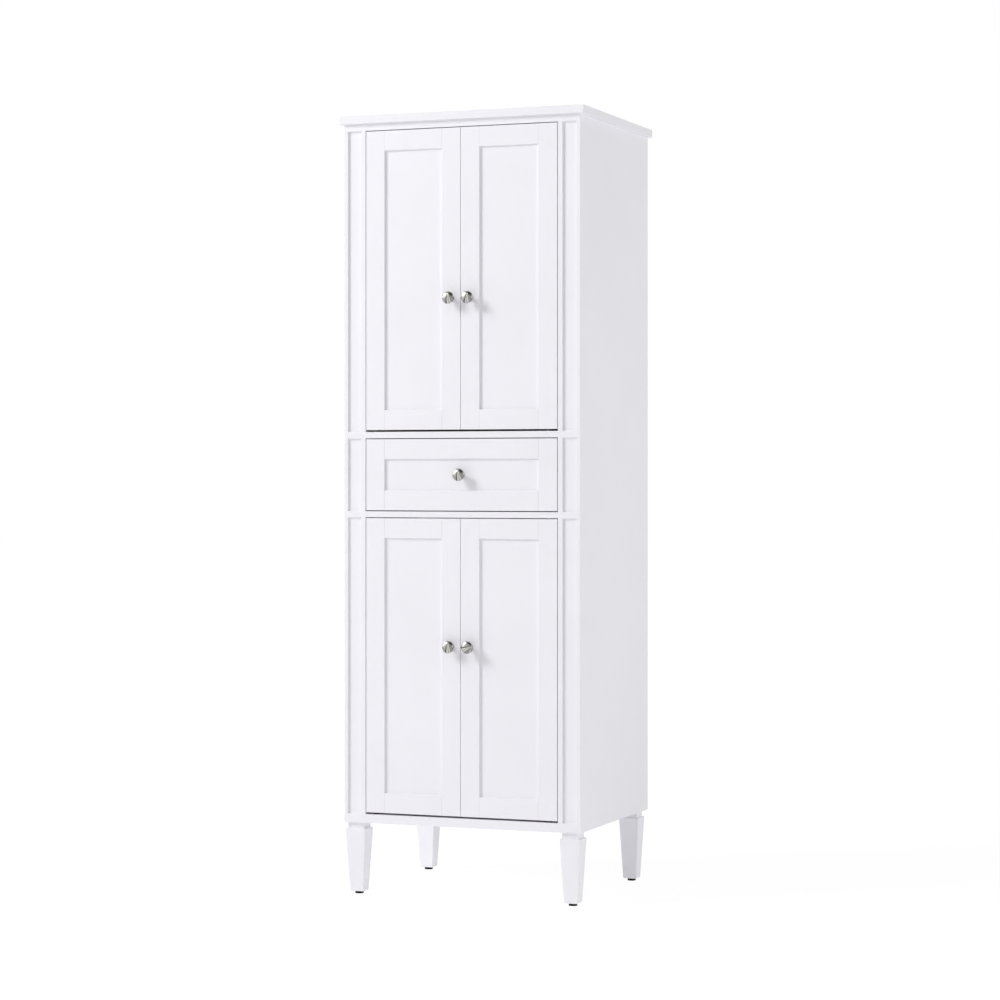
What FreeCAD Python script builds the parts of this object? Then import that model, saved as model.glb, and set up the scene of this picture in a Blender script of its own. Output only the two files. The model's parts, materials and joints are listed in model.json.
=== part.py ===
import FreeCAD, Part

import Sketcher

import os
import re

# Tall bathroom linen cabinet: carcass, face frame with sunk pilasters, four inset doors,
# one inset drawer on telescopic slides, tapered legs. Millimetres, +Z up, front towards -Y,
# origin on the floor under the middle of the bounding box.

# Driving sizes, one spreadsheet cell each.
SIZES = {
    # carcass
    "body_width": 588, "body_depth": 496, "side_thick": 16, "back_thick": 5,
    "top_thick": 19, "top_over_side": 12, "top_over_front": 8, "top_ease": 1,
    "wall_rail_high": 80, "wall_rail_thick": 16, "wall_hole_dia": 6, "wall_hole_pitch": 400,
    # face frame and the openings between its rails
    "frame_thick": 20, "stile_wide": 54, "bottom_rail_high": 21, "lower_cross_high": 14,
    "upper_cross_high": 15, "top_rail_high": 16, "lower_open_high": 697, "drawer_open_high": 171,
    "upper_open_high": 707,
    # sunk fields of the pilaster stiles
    "bead_out": 8.5, "bead_in": 11, "field_deep": 4.5, "field_bevel": 1.5,
    # framed fronts: doors and drawer front
    "front_thick": 19, "front_rail": 46, "stick_wide": 1.5, "stick_deep": 4.5, "quirk": 0.5,
    "panel_thick": 6, "groove_deep": 9, "groove_slack": 0.5,
    "side_gap": 1.8, "middle_gap": 1.2, "head_gap": 2, "sill_gap": 4.5, "drawer_gap": 2.3,
    # door pivots
    "pivot_in": 22, "pivot_set": 8, "pin_dia": 5, "pin_seat": 10, "bush_dia": 9, "bush_long": 12,
    "pin_run": 0.05, "pin_end_gap": 1, "washer_dia": 12, "washer_run": 0.2,
    # door stops
    "stop_wide": 240, "stop_high": 35, "stop_thick": 12, "bumper_dia": 9, "bumper_thick": 1.7,
    "bumper_gap": 0.3,
    # knobs
    "knob_dia": 29, "knob_rim": 2, "knob_dome": 7, "knob_flare": 4, "knob_neck_dia": 9,
    "knob_neck_long": 11, "knob_base_dia": 15, "knob_base_thick": 2, "stud_dia": 4,
    "stud_cover": 7, "upper_knob_up": 305, "lower_knob_down": 297,
    # shelves and their pins
    "shelf_thick": 15, "shelf_front_set": 45, "shelf_slack": 0.5, "shelf_pin_dia": 5,
    "shelf_pin_in": 9, "shelf_pin_out": 9, "shelf_collar_dia": 8, "shelf_collar_thick": 1,
    "shelf_row_set": 60, "shelf_hole_pitch": 32, "shelf_hole_deep": 10,
    # legs, their bolts and the glide feet
    "neck_wide": 40, "neck_high": 15, "leg_top": 49, "leg_bottom": 33, "leg_high": 148,
    "leg_chamfer": 2, "leg_inset": 2, "rear_leg_inset": 20, "bolt_dia": 8, "bolt_up": 14,
    "bolt_down": 45, "foot_dia": 20, "foot_high": 6, "foot_stem_dia": 5, "foot_stem_long": 18,
    # drawer box and slides
    "slide_thick": 12.7, "slide_high": 45, "slide_rear_gap": 63, "slide_plate": 1.5, "slide_lip": 2,
    "slide_run": 0.4, "slide_front_set": 3, "packer_over": 8,
    "box_head": 28, "box_lift": 22, "box_rear_gap": 66, "box_wall": 12, "box_floor": 6,
    "box_floor_up": 10, "box_groove": 6, "box_groove_slack": 0.3,
}

SHELF_HOLES = 7  # pin holes in each upright row, odd so that the middle one carries the shelf

# Places and sizes that follow from the driving sizes.
PLACES = {
    "knob_out": "knob_base_thick + knob_neck_long + knob_flare + knob_rim + knob_dome",
    "face_y": "-(body_depth - knob_out) / 2",
    "frame_y": "face_y + frame_thick",
    "front_back_y": "face_y + front_thick",
    "panel_set": "stick_deep + quirk",
    "stud_long": "front_thick - stud_cover",
    "drawer_stud_long": "front_thick - panel_set + box_wall - stud_cover",
    "rear_y": "face_y + body_depth",
    "liner_y": "rear_y - back_thick",
    "half_body": "body_width / 2",
    "half_in": "half_body - side_thick",
    "half_open": "half_body - stile_wide",
    "base_z": "foot_high + leg_high + neck_high",
    "lower_z0": "base_z + bottom_rail_high",
    "lower_z1": "lower_z0 + lower_open_high",
    "drawer_z0": "lower_z1 + lower_cross_high",
    "drawer_z1": "drawer_z0 + drawer_open_high",
    "upper_z0": "drawer_z1 + upper_cross_high",
    "upper_z1": "upper_z0 + upper_open_high",
    "roof_z": "upper_z1 + top_rail_high",
    "door_wide": "half_open - side_gap - middle_gap / 2",
    "drawer_wide": "2 * (half_open - side_gap)",
    "pivot_x": "half_open - side_gap - pivot_in",
    "pivot_y": "face_y + pivot_set",
    "leg_in": "half_body - leg_inset - leg_top / 2",
    "leg_front_y": "face_y + leg_inset + leg_top / 2",
    "leg_rear_y": "rear_y - rear_leg_inset - leg_top / 2",
    "wall_rail_z": "roof_z - wall_rail_high",
    "row_front_y": "face_y + shelf_row_set",
    "row_rear_y": "rear_y - shelf_row_set",
    "half_shelf": "half_in - shelf_collar_thick - shelf_slack",
    "box_z": "drawer_z0 + box_lift",
    "box_high": "drawer_open_high - box_lift - box_head",
    "box_long": "liner_y - front_back_y - box_rear_gap",
    "slide_z": "box_z + box_high / 2",
    "slide_y": "front_back_y + slide_front_set",
    "slide_long": "liner_y - slide_y - slide_rear_gap",
    "slide_step": "slide_plate + slide_run",
    "half_box": "half_open - slide_thick",
    "outer_half": "slide_high / 2",
    "middle_half": "outer_half - slide_lip - slide_run",
    "inner_half": "middle_half - slide_lip - slide_run",
    "stop_y": "front_back_y + bumper_gap + bumper_thick",
}

WORD = re.compile(r"[a-z][a-z0-9_]*")


def expand(text):
    """Expression text with every place written out in cells of the sheet."""
    def swap(match):
        word = match.group()
        if word in SIZES:
            return "dims." + word
        if word in PLACES:
            return "(" + expand(PLACES[word]) + ")"
        return word
    return WORD.sub(swap, str(text))


def make_sheet(doc):
    sheet = doc.addObject("Spreadsheet::Sheet", "dims")
    for row, (alias, value) in enumerate(SIZES.items(), start=1):
        sheet.set(f"A{row}", alias)
        sheet.set(f"B{row}", str(value))
        sheet.setAlias(f"B{row}", alias)
    doc.recompute()


doc = FreeCAD.newDocument("linen_cabinet")
make_sheet(doc)
nodes = {}


def bind(item, **props):
    """Ties each named property of a document object to an expression."""
    for name, text in props.items():
        item.setExpression(name, expand(text))
    return item


def place(item, x, y, z):
    for axis, text in zip("xyz", (x, y, z)):
        item.setExpression("Placement.Base." + axis, expand(text))
    return item


def turn(item, axis, angle):
    item.Placement = FreeCAD.Placement(FreeCAD.Vector(), FreeCAD.Rotation(FreeCAD.Vector(*axis), angle))
    return item


def box(x, y, z, wide, deep, high):
    item = doc.addObject("Part::Box", "block")
    return place(bind(item, Length=wide, Width=deep, Height=high), x, y, z)


def rod(x, y, z, dia, long, axis=(1, 0, 0), angle=0):
    """Round bar from a point, along +Z before it is turned."""
    item = turn(doc.addObject("Part::Cylinder", "rod"), axis, angle)
    return place(bind(item, Radius=f"({dia}) / 2", Height=long), x, y, z)


def taper(x, y, z, long, start, end, axis=(1, 0, 0), angle=0):
    """Four-sided block along its own Y whose section goes from start to end.

    A section is (x low, x high, z low, z high) in the block's own axes.
    """
    item = turn(doc.addObject("Part::Wedge", "taper"), axis, angle)
    bind(item, Ymin="0", Ymax=long)
    bind(item, Xmin=start[0], Xmax=start[1], Zmin=start[2], Zmax=start[3])
    bind(item, X2min=end[0], X2max=end[1], Z2min=end[2], Z2max=end[3])
    return place(item, x, y, z)


def fuse(*items):
    item = doc.addObject("Part::MultiFuse", "joined")
    item.Shapes = list(items)
    item.Refine = True
    return item


def group(*items):
    item = doc.addObject("Part::Compound", "group")
    item.Links = list(items)
    return item


def cut(base, *tools):
    item = doc.addObject("Part::Cut", "cut")
    item.Base = base
    item.Tool = tools[0] if len(tools) == 1 else group(*tools)
    return item


def node(name, *solids):
    """Names a finished sub-part; several solids make one node."""
    item = solids[0] if len(solids) == 1 else group(*solids)
    item.Label = name
    nodes[name] = item


def rectangle(body, wide, deep):
    """Sketch on the body's XY plane: a rectangle with one corner on the origin."""
    sketch = body.newObject("Sketcher::SketchObject", "outline")
    plane = next(item for item in body.Origin.OriginFeatures if item.Role == "XY_Plane")
    sketch.AttachmentSupport = (plane, [""])
    sketch.MapMode = "FlatFace"
    corners = [FreeCAD.Vector(*corner) for corner in ((0, 0), (100, 0), (100, 100), (0, 100))]
    for index, start in enumerate(corners):
        sketch.addGeometry(Part.LineSegment(start, corners[(index + 1) % 4]))
    for index in range(4):
        sketch.addConstraint(Sketcher.Constraint("Coincident", index, 2, (index + 1) % 4, 1))
        sketch.addConstraint(Sketcher.Constraint(("Horizontal", "Vertical")[index % 2], index))
    sketch.addConstraint(Sketcher.Constraint("Coincident", 0, 1, -1, 1))
    for name, kind, edge, text in (("wide", "DistanceX", 0, wide), ("deep", "DistanceY", 1, deep)):
        index = sketch.addConstraint(Sketcher.Constraint(kind, edge, 1, edge, 2, 100))
        sketch.renameConstraint(index, name)
        sketch.setExpression("Constraints." + name, expand(text))
    return sketch


def make_top():
    """Overhanging slab with all its edges eased."""
    body = doc.addObject("PartDesign::Body", "top_body")
    pad = body.newObject("PartDesign::Pad", "slab")
    pad.Profile = rectangle(body, "body_width + 2 * top_over_side", "body_depth + top_over_front")
    bind(pad, Length="top_thick")
    doc.recompute()
    eased = body.newObject("PartDesign::Chamfer", "eased_edges")
    eased.Base = (pad, [f"Edge{index}" for index in range(1, len(pad.Shape.Edges) + 1)])
    bind(eased, Size="top_ease")
    body.Tip = eased
    node("top_panel", place(body, "-half_body - top_over_side", "face_y - top_over_front", "roof_z"))


def shelf_holes(side):
    """Two upright rows of pin holes in each compartment, drilled into one side panel."""
    tools = []
    for low, high in (("lower_z0", "lower_z1"), ("upper_z0", "upper_z1")):
        for row_y in ("row_front_y", "row_rear_y"):
            for step in range(SHELF_HOLES):
                rise = step - SHELF_HOLES // 2
                tools.append(rod(f"{side} * half_in", row_y,
                                 f"({low} + {high}) / 2 + {rise} * shelf_hole_pitch",
                                 "shelf_pin_dia", "shelf_hole_deep", (0, 1, 0), side * 90))
    return tools


def make_carcass():
    high = "roof_z - base_z"
    deep = "rear_y - frame_y"
    for name, side in (("left", -1), ("right", 1)):
        x = "-half_body" if side < 0 else "half_in"
        panel = box(x, "frame_y", "base_z", "side_thick", deep, high)
        node(f"{name}_side_panel", cut(panel, *shelf_holes(side)))
    inner = "liner_y - frame_y"
    node("bottom_panel", cut(box("-half_in", "frame_y", "base_z", "2 * half_in", inner, "bottom_rail_high"),
                             *bolt_tools()))
    for name, z, thick in (("lower_divider", "lower_z1", "lower_cross_high"),
                           ("upper_divider", "drawer_z1", "upper_cross_high")):
        node(name, box("-half_in", "frame_y", z, "2 * half_in", inner, thick))
    holes = [rod(f"{side} * wall_hole_pitch / 2", "liner_y - wall_rail_thick",
                 "wall_rail_z + wall_rail_high / 2", "wall_hole_dia",
                 "wall_rail_thick + back_thick", (1, 0, 0), -90) for side in (-1, 1)]
    back = box("-half_in", "liner_y", "base_z", "2 * half_in", "back_thick", high)
    rail = box("-half_in", "liner_y - wall_rail_thick", "wall_rail_z",
               "2 * half_in", "wall_rail_thick", "wall_rail_high")
    node("back_panel", cut(back, *holes))
    node("wall_rail", cut(rail, *holes))


def pin_hole(side, z):
    return rod(f"{side} * pivot_x", "pivot_y", z, "pin_dia", "pin_seat")


def make_face_frame():
    field_wide = "stile_wide - bead_out - bead_in"
    spans = (("lower_z0", "lower_open_high"), ("drawer_z0", "drawer_open_high"),
             ("upper_z0", "upper_open_high"))
    for name, x, bead in (("left_stile", "-half_body", "bead_out"), ("right_stile", "half_open", "bead_in")):
        stile = box(x, "face_y", "base_z", "stile_wide", "frame_thick", "roof_z - base_z")
        fields = [taper(f"{x} + {bead}", "face_y", z, "field_deep",
                        ("0", field_wide, "0", high),
                        ("field_bevel", f"{field_wide} - field_bevel",
                         "field_bevel", f"{high} - field_bevel"))
                  for z, high in spans]
        node(name, cut(stile, *fields))
    rails = (("bottom_rail", "base_z", "bottom_rail_high", "lower_z0 - pin_seat"),
             ("lower_cross_rail", "lower_z1", "lower_cross_high", "lower_z1"),
             ("upper_cross_rail", "drawer_z1", "upper_cross_high", "upper_z0 - pin_seat"),
             ("top_rail", "upper_z1", "top_rail_high", "upper_z1"))
    for name, z, high, pin_z in rails:
        rail = box("-half_open", "face_y", z, "2 * half_open", "frame_thick", high)
        node(name, cut(rail, pin_hole(-1, pin_z), pin_hole(1, pin_z)))


def framed_front(name, x, z, wide, high, stile_tools=(), panel_tools=()):
    """Frame-and-panel front with bevelled sticking: two stiles, two mitred rails, one panel."""
    inner = "front_rail + stick_wide"
    groove = box(f"{x} + {inner} - groove_deep", "face_y + panel_set", f"{z} + {inner} - groove_deep",
                 f"{wide} - 2 * ({inner} - groove_deep)", "panel_thick",
                 f"{high} - 2 * ({inner} - groove_deep)")
    stiles = []
    for side in (-1, 1):
        edge = x if side < 0 else f"{x} + {wide} - front_rail"
        bar = box(edge, "face_y", z, "front_rail", "front_thick", high)
        root = f"{x} + front_rail" if side < 0 else f"{x} + {wide} - front_rail"
        near = ("-front_thick", "0") if side < 0 else ("0", "front_thick")
        far = ("-front_thick", "-stick_deep") if side < 0 else ("stick_deep", "front_thick")
        stick = taper(root, "face_y", z, "stick_wide",
                      near + ("front_rail", f"{high} - front_rail"),
                      far + (inner, f"{high} - ({inner})"), (0, 0, 1), side * 90)
        tools = [groove] + [tool for tool_side, tool in stile_tools if tool_side == side]
        stiles.append(cut(fuse(bar, stick), *tools))
    node(f"{name}_stiles", *stiles)
    rails = []
    rail_long = f"{wide} - 2 * front_rail"
    for side in (-1, 1):
        edge = z if side < 0 else f"{z} + {high} - front_rail"
        bar = box(f"{x} + front_rail", "face_y", edge, rail_long, "front_thick", "front_rail")
        root = f"{z} + front_rail" if side < 0 else f"{z} + {high} - front_rail"
        near = ("-front_thick", "0") if side < 0 else ("0", "front_thick")
        far = ("-front_thick", "-stick_deep") if side < 0 else ("stick_deep", "front_thick")
        stick = taper(f"{x} + front_rail", "face_y", root, "stick_wide",
                      ("0", rail_long) + near,
                      ("stick_wide", f"{rail_long} - stick_wide") + far, (1, 0, 0), -side * 90)
        rails.append(cut(fuse(bar, stick), groove))
    node(f"{name}_rails", *rails)
    slack = f"({inner} - groove_deep + groove_slack)"
    panel = box(f"{x} + {slack}", "face_y + panel_set", f"{z} + {slack}",
                f"{wide} - 2 * {slack}", "panel_thick", f"{high} - 2 * {slack}")
    node(f"{name}_panel", cut(panel, *panel_tools) if panel_tools else panel)


def make_knob(name, x, y, z, stud):
    """Round mushroom knob on a slim neck, turned in one piece with its stud, pointing to the front."""
    along = "knob_base_thick"
    parts = [rod("0", "0", f"-({stud})", "stud_dia", f"{stud}"),
             rod("0", "0", "0", "knob_base_dia", "knob_base_thick"),
             rod("0", "0", along, "knob_neck_dia", "knob_neck_long")]
    along += " + knob_neck_long"
    flare = doc.addObject("Part::Cone", "flare")
    bind(flare, Radius1="knob_neck_dia / 2", Radius2="knob_dia / 2", Height="knob_flare")
    parts.append(place(flare, "0", "0", along))
    along += " + knob_flare"
    parts.append(rod("0", "0", along, "knob_dia", "knob_rim"))
    along += " + knob_rim"
    ball = "(knob_dia ^ 2 / 4 + knob_dome ^ 2) / (2 * knob_dome)"
    cap = doc.addObject("Part::Sphere", "cap")
    bind(cap, Radius=ball, Angle1=f"asin(1 - knob_dome / ({ball}))")
    parts.append(place(cap, "0", "0", f"{along} + knob_dome - ({ball})"))
    turned = turn(fuse(*parts), (1, 0, 0), 90)
    node(name, place(turned, x, y, z))


def make_door(name, side, z0, high, knob_z):
    x = "-(half_open - side_gap)" if side < 0 else "middle_gap / 2"
    low = f"({z0} + sill_gap)"
    tall = f"({high} - sill_gap - head_gap)"
    top = f"{low} + {tall}"
    pivot_x = f"{side} * pivot_x"
    knob_x = f"{side} * (middle_gap / 2 + front_rail / 2)"
    sockets = [rod(pivot_x, "pivot_y", low, "bush_dia", "bush_long"),
               rod(pivot_x, "pivot_y", f"{top} - bush_long", "bush_dia", "bush_long")]
    stud_hole = rod(knob_x, "face_y", knob_z, "stud_dia", "stud_long", (1, 0, 0), -90)
    tools = [(side, tool) for tool in sockets] + [(-side, stud_hole)]
    framed_front(name, x, low, "door_wide", tall, stile_tools=tools)
    make_knob(f"{name}_knob", knob_x, "face_y", knob_z, "stud_long")
    bushes = []
    for z in (low, f"{top} - bush_long"):
        bushes.append(cut(rod(pivot_x, "pivot_y", z, "bush_dia", "bush_long"),
                          rod(pivot_x, "pivot_y", z, "pin_dia + 2 * pin_run", "bush_long")))
    node(f"{name}_bushes", *bushes)


def make_pivots():
    """Pins set in the rails above and below each door, with a thrust washer on each lower one."""
    pins, washers = [], []
    for side in (-1, 1):
        x = f"{side} * pivot_x"
        for z0, z1 in (("lower_z0", "lower_z1"), ("upper_z0", "upper_z1")):
            reach = "pin_seat + bush_long - pin_end_gap"
            pins.append(rod(x, "pivot_y", f"{z0} - pin_seat", "pin_dia", f"{reach} + sill_gap"))
            pins.append(rod(x, "pivot_y", f"{z1} - head_gap - bush_long + pin_end_gap",
                            "pin_dia", f"{reach} + head_gap"))
            washers.append(cut(rod(x, "pivot_y", z0, "washer_dia", "sill_gap - washer_run"),
                               rod(x, "pivot_y", z0, "pin_dia", "sill_gap - washer_run")))
    node("hinge_pins", *pins)
    node("hinge_washers", *washers)


def make_stops():
    """Strip behind the head of each pair of doors, with a soft bumper for each door."""
    stops, bumpers = [], []
    for z in ("lower_z1", "roof_z"):
        stops.append(box("-stop_wide / 2", "stop_y", f"{z} - stop_high",
                         "stop_wide", "stop_thick", "stop_high"))
        for side in (-1, 1):
            bumpers.append(rod(f"{side} * stop_wide / 4", "stop_y", f"{z} - stop_high + bumper_dia",
                               "bumper_dia", "bumper_thick", (1, 0, 0), 90))
    node("door_stops", *stops)
    node("door_bumpers", *bumpers)


def make_shelves():
    """A loose shelf in each compartment, on four collared pins in the middle holes of the rows."""
    pins = []
    for name, z0, z1 in (("lower_shelf", "lower_z0", "lower_z1"), ("upper_shelf", "upper_z0", "upper_z1")):
        middle = f"({z0} + {z1}) / 2"
        node(name, box("-half_shelf", "face_y + shelf_front_set", f"{middle} + shelf_pin_dia / 2",
                       "2 * half_shelf", "liner_y - wall_rail_thick - face_y - shelf_front_set",
                       "shelf_thick"))
        for side in (-1, 1):
            inward = ((0, 1, 0), -side * 90)
            for row_y in ("row_front_y", "row_rear_y"):
                shank = rod(f"{side} * (half_in + shelf_pin_in)", row_y, middle, "shelf_pin_dia",
                            "shelf_pin_in + shelf_pin_out", *inward)
                collar = rod(f"{side} * half_in", row_y, middle, "shelf_collar_dia",
                             "shelf_collar_thick", *inward)
                pins.append(fuse(shank, collar))
    node("shelf_pins", *pins)


CORNERS = {
    "front_left": ("-leg_in", "leg_front_y"), "front_right": ("leg_in", "leg_front_y"),
    "rear_left": ("-leg_in", "leg_rear_y"), "rear_right": ("leg_in", "leg_rear_y"),
}


def bolt_tools():
    return [rod(x, y, "base_z - bolt_down", "bolt_dia", "bolt_down + bolt_up") for x, y in CORNERS.values()]


def square(wide):
    half = f"({wide}) / 2"
    return (f"-{half}", half, f"-{half}", half)


def make_legs():
    """Square legs: a set-back neck, a taper on all four sides, a chamfered end and a glide foot."""
    feet, bolts = [], []
    for name, (x, y) in CORNERS.items():
        neck = box(f"{x} - neck_wide / 2", f"{y} - neck_wide / 2", "base_z - neck_high",
                   "neck_wide", "neck_wide", "neck_high")
        down = ((1, 0, 0), -90)
        post = taper(x, y, "base_z - neck_high", "leg_high - leg_chamfer", square("leg_top"),
                     square("leg_bottom"), *down)
        toe = taper(x, y, "foot_high + leg_chamfer", "leg_chamfer", square("leg_bottom"),
                    square("leg_bottom - 2 * leg_chamfer"), *down)
        bolt = rod(x, y, "base_z - bolt_down", "bolt_dia", "bolt_down + bolt_up")
        stem = rod(x, y, "foot_high", "foot_stem_dia", "foot_stem_long")
        node(f"{name}_leg", cut(fuse(neck, post, toe), bolt, stem))
        bolts.append(rod(x, y, "base_z - bolt_down", "bolt_dia", "bolt_down + bolt_up"))
        feet.append(fuse(rod(x, y, "0", "foot_dia", "foot_high"),
                         rod(x, y, "foot_high", "foot_stem_dia", "foot_stem_long")))
    node("leg_bolts", *bolts)
    node("feet", *feet)


def across(side, near, far):
    """Left end and width of what lies between two distances from a packer's face."""
    left = f"-half_open + ({near})" if side < 0 else f"half_open - ({far})"
    return left, f"({far}) - ({near})"


def channel(side, half, near, far, hollow_near, hollow_far):
    """Slide member: a bar with its hollow cut out, which leaves a web and two lips."""
    x, wide = across(side, near, far)
    hollow_x, hollow_wide = across(side, hollow_near, hollow_far)
    bar = box(x, "slide_y", f"slide_z - {half}", wide, "slide_long", f"2 * {half}")
    hollow = box(hollow_x, "slide_y", f"slide_z - {half} + slide_lip", hollow_wide, "slide_long",
                 f"2 * ({half} - slide_lip)")
    return cut(bar, hollow)


def make_slides():
    """Telescopic slides: three nested channels on each side, the outer one on a packer."""
    packers, outers, middles, inners = [], [], [], []
    for side in (-1, 1):
        x = "-half_in" if side < 0 else "half_open"
        packers.append(box(x, "frame_y", "drawer_z0", "half_in - half_open", "slide_y + slide_long - frame_y",
                           "slide_z + slide_high / 2 + packer_over - drawer_z0"))
        outer_far = "slide_thick - 2 * slide_step"
        outers.append(channel(side, "outer_half", "0", outer_far, "slide_plate", outer_far))
        middle_far = "slide_thick - slide_step"
        middles.append(channel(side, "middle_half", "slide_step", middle_far,
                               "slide_step + slide_plate", middle_far))
        inners.append(channel(side, "inner_half", "2 * slide_step", "slide_thick",
                              "2 * slide_step", "slide_thick - slide_plate"))
    node("slide_packers", *packers)
    node("slide_outer_members", *outers)
    node("slide_middle_members", *middles)
    node("slide_inner_members", *inners)


def make_drawer():
    low = "(drawer_z0 + drawer_gap)"
    tall = "(drawer_open_high - drawer_gap - head_gap)"
    knob_z = f"{low} + {tall} / 2"
    stud = rod("0", "face_y + panel_set", knob_z, "stud_dia", "drawer_stud_long", (1, 0, 0), -90)
    framed_front("drawer_front", "-(half_open - side_gap)", low, "drawer_wide", tall, panel_tools=(stud,))
    make_knob("drawer_knob", "0", "face_y + panel_set", knob_z, "drawer_stud_long")
    floor_z = "box_z + box_floor_up"
    groove = box("-half_box + box_wall - box_groove", "front_back_y + box_wall - box_groove", floor_z,
                 "2 * (half_box - box_wall + box_groove)", "box_long - 2 * (box_wall - box_groove)",
                 "box_floor")
    sides = [box(x, "front_back_y", "box_z", "box_wall", "box_long", "box_high")
             for x in ("-half_box", "half_box - box_wall")]
    node("drawer_sides", *[cut(side, groove) for side in sides])
    between = "2 * (half_box - box_wall)"
    front = box("-half_box + box_wall", "front_back_y", "box_z", between, "box_wall", "box_high")
    back = box("-half_box + box_wall", "front_back_y + box_long - box_wall", "box_z",
               between, "box_wall", "box_high")
    node("drawer_box_front", cut(front, groove, stud))
    node("drawer_box_back", cut(back, groove))
    inset = "(box_wall - box_groove + box_groove_slack)"
    node("drawer_bottom", box(f"-half_box + {inset}", f"front_back_y + {inset}", floor_z,
                              f"2 * (half_box - {inset})", f"box_long - 2 * {inset}", "box_floor"))


def check_and_write():
    doc.recompute()
    for item in doc.Objects:
        if "Invalid" in item.State or "Error" in item.State:
            raise RuntimeError(f"{item.Name} {item.Label} failed: {item.State}")
    os.makedirs("parts", exist_ok=True)
    for name, item in nodes.items():
        shape = item.Shape
        if shape.isNull() or not shape.isValid() or not shape.Solids:
            raise RuntimeError(f"{name} has no valid solid")
    for name, item in nodes.items():
        item.Shape.exportStep(f"parts/{name}.step")
    print(len(nodes), "sub-parts written")


make_top()
make_carcass()
make_face_frame()
for door, side, z0, high, knob_z in (
        ("lower_left_door", -1, "lower_z0", "lower_open_high", "lower_z1 - head_gap - lower_knob_down"),
        ("lower_right_door", 1, "lower_z0", "lower_open_high", "lower_z1 - head_gap - lower_knob_down"),
        ("upper_left_door", -1, "upper_z0", "upper_open_high", "upper_z0 + sill_gap + upper_knob_up"),
        ("upper_right_door", 1, "upper_z0", "upper_open_high", "upper_z0 + sill_gap + upper_knob_up")):
    make_door(door, side, z0, high, knob_z)
make_pivots()
make_stops()
make_shelves()
make_legs()
make_slides()
make_drawer()
check_and_write()
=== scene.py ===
import json
import math

import bmesh
import bpy
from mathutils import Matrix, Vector


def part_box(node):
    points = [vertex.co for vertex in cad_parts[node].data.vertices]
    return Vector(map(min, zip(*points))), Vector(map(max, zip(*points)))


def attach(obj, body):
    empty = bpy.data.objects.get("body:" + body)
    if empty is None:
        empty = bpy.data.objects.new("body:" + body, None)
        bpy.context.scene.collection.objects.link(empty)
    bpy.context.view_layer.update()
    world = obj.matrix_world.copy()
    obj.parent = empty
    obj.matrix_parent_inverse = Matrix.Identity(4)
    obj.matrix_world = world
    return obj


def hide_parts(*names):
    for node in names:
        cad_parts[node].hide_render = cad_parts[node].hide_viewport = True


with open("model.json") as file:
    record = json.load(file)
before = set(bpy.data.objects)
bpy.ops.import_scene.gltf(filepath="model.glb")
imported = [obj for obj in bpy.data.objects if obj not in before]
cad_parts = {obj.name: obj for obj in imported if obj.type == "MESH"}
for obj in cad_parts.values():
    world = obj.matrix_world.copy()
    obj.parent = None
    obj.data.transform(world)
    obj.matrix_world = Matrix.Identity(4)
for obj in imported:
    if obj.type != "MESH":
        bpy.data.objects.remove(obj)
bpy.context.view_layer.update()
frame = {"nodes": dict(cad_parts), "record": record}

NODES = frame["nodes"]
SLOT_OF = {part["node"]: part["material_slot"] for part in frame["record"]["subparts"]}
MM = 0.001


def linear(code):
    """sRGB hex colour as linear RGBA."""
    parts = [int(code[i:i + 2], 16) / 255 for i in (1, 3, 5)]
    return [p / 12.92 if p <= 0.04045 else ((p + 0.055) / 1.055) ** 2.4 for p in parts] + [1.0]


def add(tree, kind, inputs=None, **settings):
    """Adds a node with its settings; an input is a value, or an output socket to link from."""
    made = tree.nodes.new(kind)
    for name, value in settings.items():
        setattr(made, name, value)
    for name, value in (inputs or {}).items():
        if isinstance(value, bpy.types.NodeSocket):
            tree.links.new(value, made.inputs[name])
        else:
            made.inputs[name].default_value = value
    return made


def blank(name):
    """New material with an empty node tree."""
    made = bpy.data.materials.new(name)
    made.use_nodes = True
    made.node_tree.nodes.clear()
    return made, made.node_tree


# Finishes

def sprayed_white_lacquer():
    """Satin white lacquer sprayed on MDF: an even, faintly cool white.

    The gun leaves orange peel about 2 mm across; it is drawn 7 mm across, or it would not show.
    """
    made, tree = blank("sprayed_white_lacquer")
    place = add(tree, "ShaderNodeTexCoord").outputs["Object"]
    peel = add(tree, "ShaderNodeTexNoise", {"Vector": place, "Scale": 1 / (7 * MM), "Detail": 1.0})
    coat = add(tree, "ShaderNodeTexNoise", {"Vector": place, "Scale": 1 / (220 * MM), "Detail": 2.0})
    depth = add(tree, "ShaderNodeMapRange", {"Value": coat.outputs["Fac"], "From Min": 0.35,
                                             "From Max": 0.65})
    white = add(tree, "ShaderNodeMix", {"Factor": depth.outputs["Result"], "A": linear("#F1F0F5"),
                                        "B": linear("#F3F2F7")}, data_type="RGBA")
    gloss = add(tree, "ShaderNodeMapRange", {"Value": peel.outputs["Fac"], "From Min": 0.3, "From Max": 0.7,
                                             "To Min": 0.38, "To Max": 0.46})
    bump = add(tree, "ShaderNodeBump", {"Height": peel.outputs["Fac"], "Distance": 0.03 * MM})
    shader = add(tree, "ShaderNodeBsdfPrincipled", {
        "Base Color": white.outputs["Result"], "Roughness": gloss.outputs["Result"],
        "Normal": bump.outputs["Normal"], "IOR": 1.5})
    add(tree, "ShaderNodeOutputMaterial", {"Surface": shader.outputs["BSDF"]})
    return made


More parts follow.
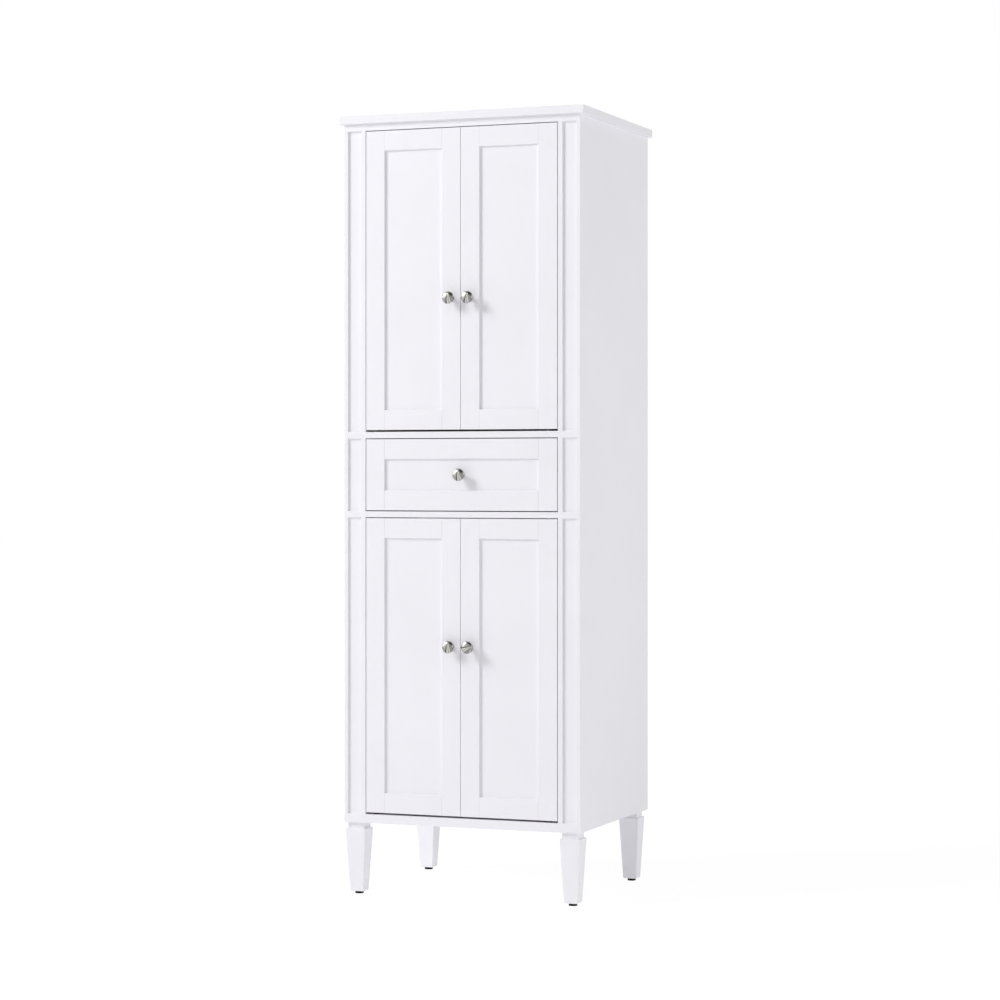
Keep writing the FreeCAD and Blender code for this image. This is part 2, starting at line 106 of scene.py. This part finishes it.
def white_melamine():
    """Melamine paper pressed on chipboard: matt white with the press plate's fine pebble.

    The pebble is about 0.6 mm across; it is drawn 3 mm across, or it would not show.
    """
    made, tree = blank("pressed_white_melamine")
    place = add(tree, "ShaderNodeTexCoord").outputs["Object"]
    pebble = add(tree, "ShaderNodeTexVoronoi", {"Vector": place, "Scale": 1 / (3 * MM)}, feature="SMOOTH_F1")
    dull = add(tree, "ShaderNodeMix", {"Factor": pebble.outputs["Distance"], "A": linear("#EFEFF1"),
                                       "B": linear("#EAEAED")}, data_type="RGBA")
    gloss = add(tree, "ShaderNodeMapRange", {"Value": pebble.outputs["Distance"], "To Min": 0.5,
                                             "To Max": 0.6})
    bump = add(tree, "ShaderNodeBump", {"Height": pebble.outputs["Distance"], "Distance": 0.05 * MM},
               invert=True)
    shader = add(tree, "ShaderNodeBsdfPrincipled", {
        "Base Color": dull.outputs["Result"], "Roughness": gloss.outputs["Result"],
        "Normal": bump.outputs["Normal"], "IOR": 1.5})
    add(tree, "ShaderNodeOutputMaterial", {"Surface": shader.outputs["BSDF"]})
    return made


def painted_hardboard():
    """Hardboard with one thin roller coat of white: dull, and faintly mottled by the fibres below.

    The fibre mottle is about 1.5 mm across; it is drawn 5 mm across, or it would not show.
    """
    made, tree = blank("rolled_white_hardboard")
    place = add(tree, "ShaderNodeTexCoord").outputs["Object"]
    fibre = add(tree, "ShaderNodeTexNoise", {"Vector": place, "Scale": 1 / (5 * MM), "Detail": 4.0})
    mottle = add(tree, "ShaderNodeMapRange", {"Value": fibre.outputs["Fac"], "From Min": 0.3,
                                              "From Max": 0.7})
    coat = add(tree, "ShaderNodeMix", {"Factor": mottle.outputs["Result"], "A": linear("#E4E4E5"),
                                       "B": linear("#ECECEC")}, data_type="RGBA")
    gloss = add(tree, "ShaderNodeMapRange", {"Value": fibre.outputs["Fac"], "To Min": 0.58, "To Max": 0.72})
    bump = add(tree, "ShaderNodeBump", {"Height": fibre.outputs["Fac"], "Distance": 0.06 * MM})
    shader = add(tree, "ShaderNodeBsdfPrincipled", {
        "Base Color": coat.outputs["Result"], "Roughness": gloss.outputs["Result"],
        "Normal": bump.outputs["Normal"], "IOR": 1.5})
    add(tree, "ShaderNodeOutputMaterial", {"Surface": shader.outputs["BSDF"]})
    return made


def lacquered_beech(name, along):
    """Planed beech under clear lacquer: pale warm wood, growth bands and short dark ray flecks on the grain.

    The flecks are about 0.4 mm wide and 3 mm long; they are drawn three times as coarse, to show.
    """
    made, tree = blank(name)
    place = add(tree, "ShaderNodeTexCoord").outputs["Object"]
    runs = add(tree, "ShaderNodeMapping", {"Vector": place, "Scale": along})
    bands = add(tree, "ShaderNodeTexNoise", {"Vector": runs.outputs["Vector"], "Scale": 1 / (9 * MM),
                                             "Detail": 5.0, "Distortion": 0.4})
    flecks = add(tree, "ShaderNodeTexNoise", {"Vector": runs.outputs["Vector"], "Scale": 1 / (1.2 * MM),
                                              "Detail": 1.0})
    growth = add(tree, "ShaderNodeMapRange", {"Value": bands.outputs["Fac"], "From Min": 0.3,
                                              "From Max": 0.7})
    wood = add(tree, "ShaderNodeMix", {"Factor": growth.outputs["Result"], "A": linear("#C79F6D"),
                                       "B": linear("#DFC196")}, data_type="RGBA")
    dark = add(tree, "ShaderNodeMapRange", {"Value": flecks.outputs["Fac"], "From Min": 0.56, "From Max": 0.7,
                                            "To Max": 0.55})
    flecked = add(tree, "ShaderNodeMix", {"Factor": dark.outputs["Result"], "A": wood.outputs["Result"],
                                          "B": linear("#A67845")}, data_type="RGBA")
    gloss = add(tree, "ShaderNodeMapRange", {"Value": bands.outputs["Fac"], "To Min": 0.36, "To Max": 0.5})
    bump = add(tree, "ShaderNodeBump", {"Height": flecks.outputs["Fac"], "Distance": 0.06 * MM}, invert=True)
    shader = add(tree, "ShaderNodeBsdfPrincipled", {
        "Base Color": flecked.outputs["Result"], "Roughness": gloss.outputs["Result"],
        "Normal": bump.outputs["Normal"], "IOR": 1.5})
    add(tree, "ShaderNodeOutputMaterial", {"Surface": shader.outputs["BSDF"]})
    return made


# Where the brush lines of a knob start above its middle, and how far apart they are drawn at its far edge.
# Both are in millimetres.
FAN_START, FAN_APART = 16.0, 6.0


def brushed_nickel():
    """Nickel plate brushed on a belt that wraps the crown: its brush lines fan out from one edge, drawn as
    grey streaks whose dark and light greys are painted reflection.

    The brush lines are about 0.1 mm apart; they are drawn 6 mm apart where they are widest, or they
    would not show.
    """
    made, tree = blank("brushed_satin_nickel")
    place = add(tree, "ShaderNodeTexCoord").outputs["Object"]
    across = add(tree, "ShaderNodeSeparateXYZ", {"Vector": place}).outputs
    below = add(tree, "ShaderNodeMath", {0: FAN_START * MM, 1: across["Z"]}, operation="SUBTRACT")
    fan = add(tree, "ShaderNodeMath", {0: across["X"], 1: below.outputs["Value"]}, operation="ARCTAN2")
    lines = add(tree, "ShaderNodeTexNoise", {"W": fan.outputs["Value"], "Scale": 2 * FAN_START / FAN_APART,
                                             "Detail": 3.0}, noise_dimensions="1D")
    # Painted reflection: the streaks' dark and light greys stand in for dark and bright surroundings mirrored
    # along the brush lines.
    painted_reflection_streak = add(tree, "ShaderNodeMapRange", {"Value": lines.outputs["Fac"], "From Min": 0.36,
                                              "From Max": 0.64})
    plate = add(tree, "ShaderNodeMix", {"Factor": painted_reflection_streak.outputs["Result"], "A": linear("#5A5A59"),
                                        "B": linear("#CFCDC9")}, data_type="RGBA")
    gloss = add(tree, "ShaderNodeMapRange", {"Value": lines.outputs["Fac"], "To Min": 0.16, "To Max": 0.28})
    bump = add(tree, "ShaderNodeBump", {"Height": lines.outputs["Fac"], "Distance": 0.25 * MM})
    round_axis = add(tree, "ShaderNodeTangent", direction_type="RADIAL", axis="Z")
    shader = add(tree, "ShaderNodeBsdfPrincipled", {
        "Base Color": plate.outputs["Result"], "Metallic": 1.0, "Roughness": gloss.outputs["Result"],
        "Normal": bump.outputs["Normal"], "Anisotropic": 0.5, "Tangent": round_axis.outputs["Tangent"]})
    add(tree, "ShaderNodeOutputMaterial", {"Surface": shader.outputs["BSDF"]})
    return made


def zinc_plated_steel():
    """Rolled steel strip, bright zinc plated: a bluish grey with faint lines the way it was rolled.

    The rolling lines are about 0.2 mm apart; they are drawn 1.5 mm apart, or they would not show.
    """
    made, tree = blank("rolled_zinc_plated_steel")
    place = add(tree, "ShaderNodeTexCoord").outputs["Object"]
    strip = add(tree, "ShaderNodeMapping", {"Vector": place, "Scale": (1.0, 0.04, 1.0)})
    lines = add(tree, "ShaderNodeTexNoise", {"Vector": strip.outputs["Vector"], "Scale": 1 / (1.5 * MM),
                                             "Detail": 3.0})
    plate = add(tree, "ShaderNodeMix", {"Factor": lines.outputs["Fac"], "A": linear("#9DA1A7"),
                                        "B": linear("#C3C6CB")}, data_type="RGBA")
    gloss = add(tree, "ShaderNodeMapRange", {"Value": lines.outputs["Fac"], "To Min": 0.26, "To Max": 0.4})
    bump = add(tree, "ShaderNodeBump", {"Height": lines.outputs["Fac"], "Distance": 0.03 * MM})
    shader = add(tree, "ShaderNodeBsdfPrincipled", {
        "Base Color": plate.outputs["Result"], "Metallic": 1.0, "Roughness": gloss.outputs["Result"],
        "Normal": bump.outputs["Normal"]})
    add(tree, "ShaderNodeOutputMaterial", {"Surface": shader.outputs["BSDF"]})
    return made


def black_plastic(name, dark, light, dull, shine):
    """Black moulded plastic: the spark-eroded mould leaves a fine even grain that dulls it.

    The grain is about 0.3 mm across; it is drawn 1 mm across, or it would not show.
    """
    made, tree = blank(name)
    place = add(tree, "ShaderNodeTexCoord").outputs["Object"]
    grain = add(tree, "ShaderNodeTexNoise", {"Vector": place, "Scale": 1 / (1.0 * MM), "Detail": 1.0})
    skin = add(tree, "ShaderNodeMix", {"Factor": grain.outputs["Fac"], "A": linear(dark),
                                       "B": linear(light)}, data_type="RGBA")
    gloss = add(tree, "ShaderNodeMapRange", {"Value": grain.outputs["Fac"], "To Min": dull - 0.06,
                                             "To Max": dull + 0.06})
    bump = add(tree, "ShaderNodeBump", {"Height": grain.outputs["Fac"], "Distance": 0.04 * MM})
    shader = add(tree, "ShaderNodeBsdfPrincipled", {
        "Base Color": skin.outputs["Result"], "Roughness": gloss.outputs["Result"],
        "Normal": bump.outputs["Normal"], "IOR": 1.52, "Specular IOR Level": shine})
    add(tree, "ShaderNodeOutputMaterial", {"Surface": shader.outputs["BSDF"]})
    return made


def joint_painted_shade():
    """Hairline in the lacquer over a glued joint, where the film has parted: its grey is painted shade,
    standing in for the shade in the crack.

    The painted shade is mottled in specks of 1 mm.
    """
    made, tree = blank("painted_shade_in_parted_lacquer")
    place = add(tree, "ShaderNodeTexCoord").outputs["Object"]
    shade_mottle = add(tree, "ShaderNodeTexNoise", {"Vector": place, "Scale": 1 / (1.0 * MM), "Detail": 2.0})
    # Painted shade: this grey stands in for the shade in the parted hairline, not for a colour of the
    # lacquer.
    joint_shade = add(tree, "ShaderNodeMix", {"Factor": shade_mottle.outputs["Fac"], "A": linear("#A4A4A9"),
                                       "B": linear("#C4C4C9")}, data_type="RGBA")
    dull = add(tree, "ShaderNodeMapRange", {"Value": shade_mottle.outputs["Fac"], "To Min": 0.7, "To Max": 0.9})
    shader = add(tree, "ShaderNodeBsdfPrincipled", {
        "Base Color": joint_shade.outputs["Result"], "Roughness": dull.outputs["Result"], "IOR": 1.5,
        "Specular IOR Level": 0.2})
    add(tree, "ShaderNodeOutputMaterial", {"Surface": shader.outputs["BSDF"]})
    return made


def clear_polyurethane():
    """Cast clear polyurethane, as stick-on bumpers are: a soft cloudy jelly.

    The clouds in it are about 1.5 mm across.
    """
    made, tree = blank("cast_clear_polyurethane")
    place = add(tree, "ShaderNodeTexCoord").outputs["Object"]
    cloud = add(tree, "ShaderNodeTexNoise", {"Vector": place, "Scale": 1 / (1.5 * MM), "Detail": 2.0})
    jelly = add(tree, "ShaderNodeMix", {"Factor": cloud.outputs["Fac"], "A": linear("#DCDDDA"),
                                        "B": linear("#F0F0EC")}, data_type="RGBA")
    gloss = add(tree, "ShaderNodeMapRange", {"Value": cloud.outputs["Fac"], "To Min": 0.24, "To Max": 0.36})
    shader = add(tree, "ShaderNodeBsdfPrincipled", {
        "Base Color": jelly.outputs["Result"], "Roughness": gloss.outputs["Result"],
        "Transmission Weight": 0.6, "IOR": 1.49})
    add(tree, "ShaderNodeOutputMaterial", {"Surface": shader.outputs["BSDF"]})
    return made


BEECH_FRONT_TO_BACK = lacquered_beech("lacquered_beech_front_to_back", (1.0, 0.07, 1.0))
BEECH_SIDE_TO_SIDE = lacquered_beech("lacquered_beech_side_to_side", (0.07, 1.0, 1.0))

FINISHES = {
    "white_lacquer": sprayed_white_lacquer(),
    "inside_board": white_melamine(),
    "back_board": painted_hardboard(),
    "drawer_wood": BEECH_FRONT_TO_BACK,
    "satin_nickel": brushed_nickel(),
    "zinc_steel": zinc_plated_steel(),
    "nylon": black_plastic("moulded_black_nylon", "#0C0C0D", "#161617", 0.38, 0.5),
    "clear_rubber": clear_polyurethane(),
    "black_plastic": black_plastic("moulded_black_polyethylene", "#050505", "#0B0B0C", 0.6, 0.2),
}
OWN_FINISH = {"drawer_box_front": BEECH_SIDE_TO_SIDE, "drawer_box_back": BEECH_SIDE_TO_SIDE,
              "drawer_bottom": BEECH_SIDE_TO_SIDE}

# How far the edges of each finish are eased, in millimetres.
EASED = {"white_lacquer": 0.5, "inside_board": 0.5, "drawer_wood": 1.0, "black_plastic": 0.3,
         "zinc_steel": 0.3}
# The face frame is glued up and filled before it is sprayed, so its joints hardly show.
FACE_FRAME = ("left_stile", "right_stile", "top_rail", "upper_cross_rail", "lower_cross_rail", "bottom_rail")
FRAME_EASED = 0.2
# The mouldings of the doors and the drawer front are narrow, and the bevel's own limit takes their stiles
# down to about half of this.
DOOR_LENGTHS = ("_stiles", "_rails")
DOOR_EASED = 0.4


def ease_edges(item, width):
    """Rounds a board's edges: its flat faces are made whole first, so that only real edges are rounded."""
    weld = item.modifiers.new("weld", "WELD")
    weld.merge_threshold = 0.01 * MM
    flat = item.modifiers.new("flat", "DECIMATE")
    flat.decimate_type = "DISSOLVE"
    flat.angle_limit = math.radians(0.5)
    ease = item.modifiers.new("ease", "BEVEL")
    ease.width = width * MM
    ease.segments = 2
    ease.limit_method = "ANGLE"
    ease.angle_limit = math.radians(25)


def dress_nodes():
    """Gives every sub-part its finish, and eases the edges of the face frame, of the fronts' stiles and
    rails, and of the parts whose finish has an easing listed.
    """
    for name, item in NODES.items():
        slot = SLOT_OF[name]
        item.data.materials.clear()
        item.data.materials.append(OWN_FINISH.get(name, FINISHES[slot]))
        if name in FACE_FRAME:
            ease_edges(item, FRAME_EASED)
        elif name.endswith(DOOR_LENGTHS):
            ease_edges(item, DOOR_EASED)
        elif slot in EASED:
            ease_edges(item, EASED[slot])


# Joint lines of the doors and the drawer front

# The body that each framed front rides on.
FRONTS = {"upper_left_door": "upper_left_door", "upper_right_door": "upper_right_door",
          "drawer_front": "drawer", "lower_left_door": "lower_left_door",
          "lower_right_door": "lower_right_door"}
# Section of a joint line and how far it stops short of the front's edge, in millimetres.
LINE_WIDE, LINE_SUNK, LINE_DEEP, LINE_SHORT = 0.5, 0.05, 0.5, 0.5


def add_line(shape, x, face, low, high):
    """Adds an upright three-sided bar to the mesh, its flat side towards the front, just under the face."""
    half, flat, root = LINE_WIDE / 2 * MM, face + LINE_SUNK * MM, face + LINE_DEEP * MM
    section = ((x - half, flat), (x + half, flat), (x, root))
    bottom, top = [[shape.verts.new((*corner, z)) for corner in section] for z in (low, high)]
    shape.faces.new(bottom)
    shape.faces.new(top)
    for k in range(3):
        shape.faces.new((bottom[k - 1], bottom[k], top[k], top[k - 1]))


def make_joint_lines():
    """Fine lines of painted shade where the stiles of each front meet its rails."""
    # The bars carry a grey of painted shade for the hairline at each joint.
    joint_shade = joint_painted_shade()
    for front, body in FRONTS.items():
        low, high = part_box(f"{front}_stiles")
        first, last = (corner.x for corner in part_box(f"{front}_rails"))
        # The rails are as high as the stiles are wide.
        rail = first - low.x
        shape = bmesh.new()
        for x in (first, last):
            add_line(shape, x, low.y, low.z + LINE_SHORT * MM, low.z + rail)
            add_line(shape, x, low.y, high.z - rail, high.z - LINE_SHORT * MM)
        bmesh.ops.recalc_face_normals(shape, faces=shape.faces)
        mesh = bpy.data.meshes.new(f"{front}_joint_lines")
        shape.to_mesh(mesh)
        shape.free()
        mesh.materials.append(joint_shade)
        piece = bpy.data.objects.new(f"{front}_joint_lines", mesh)
        bpy.context.scene.collection.objects.link(piece)
        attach(piece, body)


# Knobs

# Facets along a knob's neck, the back of its head and its crown, and round its axis.
NECK_STEPS, BACK_STEPS, CROWN_STEPS, ROUND_STEPS = 8, 12, 18, 72


def knob_outline(radius, reach):
    """Half section of a mushroom knob from its seat to its crown, as (radius, distance out)."""
    seat, lip, neck = 0.52 * radius, 0.494 * radius, 0.31 * radius
    edge_out, lip_out, neck_out = 0.042 * reach, 0.07 * reach, 0.22 * reach
    points = [(0.0, 0.0), (seat, 0.0), (seat, edge_out), (lip, lip_out)]
    for step in range(1, NECK_STEPS + 1):
        turn = step / NECK_STEPS * math.pi / 2
        points.append((neck + (lip - neck) * (1 - math.sin(turn)),
                       neck_out - (neck_out - lip_out) * math.cos(turn)))
    # The head is a cap on the neck: its back is flatter than its front.
    widest, back, front = 0.74 * reach, 0.16 * reach, 0.26 * reach
    start = math.acos(neck / radius)
    for step in range(BACK_STEPS + 1):
        turn = -start * (1 - step / BACK_STEPS)
        points.append((radius * math.cos(turn), widest + back * math.sin(turn)))
    for step in range(1, CROWN_STEPS + 1):
        turn = step / CROWN_STEPS * math.pi / 2
        points.append((radius * math.cos(turn), widest + front * math.sin(turn)))
    return points


def turned(name, outline):
    """Mesh of revolution about Y, whose outline is (radius, distance towards the front)."""
    shape = bmesh.new()
    turns = [2 * math.pi * k / ROUND_STEPS for k in range(ROUND_STEPS)]
    rings = []
    for radius, out in outline:
        # On the axis, to within a thousandth of a millimetre, a ring is one point.
        if radius < 0.001 * MM:
            rings.append([shape.verts.new((0, -out, 0))])
            continue
        rings.append([shape.verts.new((radius * math.cos(t), -out, radius * math.sin(t))) for t in turns])
    for low, high in zip(rings, rings[1:]):
        for k in range(ROUND_STEPS):
            n = (k + 1) % ROUND_STEPS
            corners = [low[k % len(low)], low[n % len(low)], high[n % len(high)], high[k % len(high)]]
            shape.faces.new(list(dict.fromkeys(corners)))
    bmesh.ops.recalc_face_normals(shape, faces=shape.faces)
    mesh = bpy.data.meshes.new(name)
    shape.to_mesh(mesh)
    shape.free()
    mesh.polygons.foreach_set("use_smooth", [True] * len(mesh.polygons))
    mesh.set_sharp_from_angle(angle=math.radians(50))
    piece = bpy.data.objects.new(name, mesh)
    bpy.context.scene.collection.objects.link(piece)
    return piece


# Each knob was screwed in until tight, so its brush lines stop at an angle of their own, in degrees.
KNOB_TURNED = {"upper_left_door": 4, "upper_right_door": 16, "drawer": 1, "lower_left_door": 10,
               "lower_right_door": 78}


def make_knobs():
    """Turned knobs, seated on the doors' stiles and on the drawer's panel."""
    for body, angle in KNOB_TURNED.items():
        seat_node = "drawer_front_panel" if body == "drawer" else f"{body}_stiles"
        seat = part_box(seat_node)[0].y
        node = f"{body}_knob"
        low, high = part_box(node)
        piece = turned(f"turned_{node}", knob_outline((high.x - low.x) / 2, seat - low.y))
        piece.location = ((low.x + high.x) / 2, seat, (low.z + high.z) / 2)
        piece.rotation_euler = (0, math.radians(angle), 0)
        piece.data.materials.append(FINISHES["satin_nickel"])
        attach(piece, body)
        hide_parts(node)


# Studio

# Camera, fitted to edges in the photo: metres right of the middle, ahead of the face frame and above its
# foot, its turn in degrees, and its lens as focal length over sensor width and upward shift.
CAMERA_RIGHT, CAMERA_AHEAD, CAMERA_UP = 2.387, 5.922, 0.8145
CAMERA_TURN = 21.13
LENS_RATIO, LENS_SHIFT = 2.756, -0.0239

# Share of its shading that the floor shows, its glow near and far, the distances in metres between which the
# glow rises, and half the floor's width.
FLOOR_SHADING = 0.17
GLOW_NEAR, GLOW_FAR = 0.9, 0.94
RISE_FROM, RISE_TO = 2.0, 6.0
FLOOR_HALF = 30.0

# Directions in which the knobs see a dark part of the ceiling and a bright wall.
CEILING_WAY = (0.42, -0.45, 0.79)
WALL_WAY = (-0.95, -0.25, 0.2)

# Strength of the room, of the floor's light from below, and of the lamps in watts; lamp places and sizes in
# metres.
ROOM_LIGHT = 0.44
FLOOR_LIGHT = 0.195
KEY_POWER, KEY_PLACE, KEY_SIZE = 305.0, (-4.83, -3.71, 4.92), 2.5
RIGHT_POWER, RIGHT_PLACE, RIGHT_SIZE = 25.0, (3.6, 0.1, 1.0), 2.4


def make_camera():
    """Level camera at the photo's viewing angle."""
    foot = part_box("left_stile")[0]
    lens = bpy.data.cameras.new("camera")
    lens.sensor_width = 36.0
    lens.lens = LENS_RATIO * lens.sensor_width
    lens.shift_y = LENS_SHIFT
    lens.clip_end = 100.0
    camera = bpy.data.objects.new("camera", lens)
    camera.location = (CAMERA_RIGHT, foot.y - CAMERA_AHEAD, foot.z + CAMERA_UP)
    camera.rotation_euler = (math.radians(90), 0, math.radians(CAMERA_TURN))
    bpy.context.scene.collection.objects.link(camera)
    bpy.context.scene.camera = camera


def seen_directly(tree):
    """Socket that is 1 where the camera, a reflection or a clear piece looks."""
    seen = add(tree, "ShaderNodeLightPath").outputs
    either = add(tree, "ShaderNodeMath", {0: seen["Is Camera Ray"],
                                          1: seen["Is Glossy Ray"]}, operation="MAXIMUM")
    all_three = add(tree, "ShaderNodeMath", {0: either.outputs["Value"], 1: seen["Is Transmission Ray"]},
                    operation="MAXIMUM")
    return all_three.outputs["Value"]


def make_floor(backlight):
    """White studio floor, lit a little from below.

    It is seen as near white, with a share of its real shading so that the shadow stays, and a little whiter
    far off, where the lamps don't reach, so that it runs into the room without an edge.
    """
    made, tree = blank("white_acrylic_floor")
    paint = add(tree, "ShaderNodeBsdfDiffuse", {"Color": linear("#F4F4F5")})
    from_below = add(tree, "ShaderNodeEmission", {"Color": (1, 1, 1, 1), "Strength": backlight})
    real = add(tree, "ShaderNodeAddShader", {0: paint.outputs["BSDF"], 1: from_below.outputs["Emission"]})
    faint = add(tree, "ShaderNodeBsdfDiffuse", {"Color": (FLOOR_SHADING, FLOOR_SHADING, FLOOR_SHADING, 1)})
    place = add(tree, "ShaderNodeTexCoord").outputs["Object"]
    away = add(tree, "ShaderNodeVectorMath", {0: place}, operation="LENGTH")
    rise = add(tree, "ShaderNodeMapRange", {"Value": away.outputs["Value"], "From Min": RISE_FROM,
                                            "From Max": RISE_TO, "To Min": GLOW_NEAR, "To Max": GLOW_FAR})
    glow = add(tree, "ShaderNodeEmission", {"Color": (1, 1, 1, 1), "Strength": rise.outputs["Result"]})
    shown = add(tree, "ShaderNodeAddShader", {0: faint.outputs["BSDF"], 1: glow.outputs["Emission"]})
    mixed = add(tree, "ShaderNodeMixShader", {0: seen_directly(tree), 1: real.outputs["Shader"],
                                              2: shown.outputs["Shader"]})
    add(tree, "ShaderNodeOutputMaterial", {"Surface": mixed.outputs["Shader"]})
    half = FLOOR_HALF
    corners = [(-half, -half, 0), (half, -half, 0), (half, half, 0), (-half, half, 0)]
    mesh = bpy.data.meshes.new("floor")
    mesh.from_pydata(corners, [], [(0, 1, 2, 3)])
    mesh.materials.append(made)
    floor = bpy.data.objects.new("floor", mesh)
    bpy.context.scene.collection.objects.link(floor)


def make_room(light):
    """White room: it lights evenly, and looks white but for a dark ceiling and a bright wall on the left."""
    world = bpy.data.worlds.new("studio")
    world.use_nodes = True
    tree = world.node_tree
    tree.nodes.clear()
    way = add(tree, "ShaderNodeTexCoord").outputs["Generated"]
    ceiling = add(tree, "ShaderNodeVectorMath", {0: way, 1: CEILING_WAY}, operation="DOT_PRODUCT")
    shade = add(tree, "ShaderNodeMapRange", {"Value": ceiling.outputs["Value"], "From Min": 0.72,
                                             "From Max": 0.92, "To Min": 1.0, "To Max": 0.05},
                interpolation_type="SMOOTHSTEP")
    wall = add(tree, "ShaderNodeVectorMath", {0: way, 1: WALL_WAY}, operation="DOT_PRODUCT")
    bright = add(tree, "ShaderNodeMapRange", {"Value": wall.outputs["Value"], "From Min": 0.76,
                                              "From Max": 0.86, "To Min": 1.0, "To Max": 2.2},
                 interpolation_type="SMOOTHSTEP")
    look = add(tree, "ShaderNodeMath", {0: shade.outputs["Result"], 1: bright.outputs["Result"]},
               operation="MULTIPLY")
    lit = add(tree, "ShaderNodeBackground", {"Color": (1, 1, 1, 1), "Strength": light})
    shown = add(tree, "ShaderNodeBackground", {"Color": (1, 1, 1, 1), "Strength": look.outputs["Value"]})
    mixed = add(tree, "ShaderNodeMixShader", {0: seen_directly(tree), 1: lit.outputs["Background"],
                                              2: shown.outputs["Background"]})
    add(tree, "ShaderNodeOutputWorld", {"Surface": mixed.outputs["Shader"]})
    bpy.context.scene.world = world


def make_lamp(name, place, size, power):
    """Round soft lamp that points at the middle of the cabinet."""
    data = bpy.data.lights.new(name, "AREA")
    data.shape = "DISK"
    data.size = size
    data.energy = power
    lamp = bpy.data.objects.new(name, data)
    lamp.location = place
    lamp.rotation_euler = (Vector((0, 0, 1.0)) - Vector(place)).to_track_quat("-Z", "Y").to_euler()
    bpy.context.scene.collection.objects.link(lamp)


bpy.context.scene.view_settings.view_transform = "Standard"
dress_nodes()
make_joint_lines()
make_knobs()
make_camera()
make_floor(FLOOR_LIGHT)
make_room(ROOM_LIGHT)
make_lamp("key", KEY_PLACE, KEY_SIZE, KEY_POWER)
make_lamp("right_fill", RIGHT_PLACE, RIGHT_SIZE, RIGHT_POWER)
